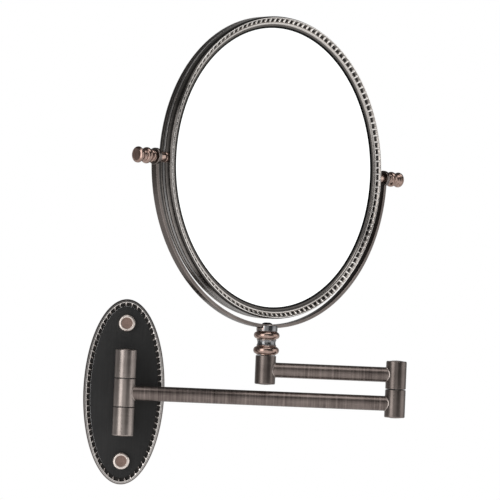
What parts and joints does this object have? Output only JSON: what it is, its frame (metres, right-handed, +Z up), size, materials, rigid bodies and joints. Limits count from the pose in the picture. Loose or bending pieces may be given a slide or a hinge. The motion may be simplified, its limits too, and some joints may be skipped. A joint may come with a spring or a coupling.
{
  "type": "extendable shaving mirror",
  "caption": "Wall shaving mirror: oval plate, folding double arm, turned stem and a half-round yoke that holds a round, two-sided mirror in beaded rings.",
  "frame": {"origin": "on the wall, at the middle of the back face of the flat bracket, level with the lower arm's axis", "axes": "+X to the viewer's right along the wall, +Y into the wall, +Z up; the front of the plate faces -Y"},
  "size_m": [0.2188, 0.1767, 0.32],
  "materials": {
    "steel": "zinc plated",
    "plate_bronze": "black semi-gloss field, bronze rim with rubbed bright beading",
    "dark_bronze": "dark antique bronze, satin, brushed round",
    "copper_bronze": "polished copper-brown bronze",
    "screw_black": "black oxide",
    "nylon": "matte",
    "foam": "soft pad",
    "silvered_glass": "silvered, polished"
  },
  "bodies": {
    "wall_mount": {"wall_bracket": "steel", "wall_plate": "plate_bronze", "plate_stud_upper": "steel", "plate_stud_lower": "steel", "cap_nut_upper": "copper_bronze", "cap_nut_lower": "copper_bronze", "hinge_knuckle_upper": "dark_bronze", "hinge_knuckle_lower": "dark_bronze", "post_screw_upper": "steel", "post_screw_lower": "steel", "hinge_pin": "steel", "hinge_spring_washer": "steel", "hinge_nut": "steel", "hinge_plug_upper": "dark_bronze", "hinge_plug_lower": "dark_bronze", "hinge_washer_upper": "nylon", "hinge_washer_lower": "nylon"},
    "lower_arm": {"arm_knuckle": "dark_bronze", "lower_arm_tube": "dark_bronze", "elbow_knuckle_lower": "dark_bronze", "elbow_pin": "steel", "elbow_spring_washer": "steel", "elbow_nut": "steel", "elbow_washer": "nylon", "elbow_plug_lower": "dark_bronze"},
    "upper_arm": {"elbow_knuckle_upper": "dark_bronze", "elbow_plug_upper": "dark_bronze", "upper_arm_tube": "dark_bronze", "stem_socket": "dark_bronze", "socket_plug": "dark_bronze"},
    "yoke_frame": {"stem": "copper_bronze", "stem_washer": "nylon", "stem_retainer": "steel", "stem_screw": "steel", "yoke": "dark_bronze", "yoke_screw": "screw_black", "pivot_bush_left": "copper_bronze", "pivot_bush_right": "copper_bronze"},
    "mirror_head": {"front_ring": "dark_bronze", "rear_ring": "dark_bronze", "mirror_drum": "dark_bronze", "front_glass": "silvered_glass", "magnifying_glass": "silvered_glass", "backing_pad": "foam", "glass_spacer_ring": "nylon", "pivot_screw_left": "steel", "pivot_screw_right": "steel"},
    "turn_knob_left": {"knob_left": "copper_bronze"},
    "turn_knob_right": {"knob_right": "copper_bronze"}
  },
  "joints": [
    {"name": "wall_swing", "type": "hinge", "parent": "wall_mount", "child": "lower_arm", "pos_m": [0, -0.025, 0], "axis": [0, 0, 1], "range_deg": [-180, 6]},
    {"name": "elbow_swing", "type": "hinge", "parent": "lower_arm", "child": "upper_arm", "pos_m": [0.18175, -0.03453, 0], "axis": [0, 0, 1], "continuous": true},
    {"name": "stem_swivel", "type": "hinge", "parent": "upper_arm", "child": "yoke_frame", "pos_m": [0.09387, -0.02992, 0], "axis": [0, 0, 1], "continuous": true},
    {"name": "mirror_tilt", "type": "hinge", "parent": "yoke_frame", "child": "mirror_head", "pos_m": [0.09387, -0.02992, 0.1553], "axis": [0.7431, 0.6691, 0], "continuous": true},
    {"name": "knob_left_turn", "type": "hinge", "parent": "mirror_head", "child": "turn_knob_left", "pos_m": [0.00529, -0.10968, 0.1553], "axis": [-0.7431, -0.6691, 0], "range_deg": [0, 270]},
    {"name": "knob_right_turn", "type": "hinge", "parent": "mirror_head", "child": "turn_knob_right", "pos_m": [0.18245, 0.04984, 0.1553], "axis": [0.7431, 0.6691, 0], "range_deg": [0, 270]}
  ]
}
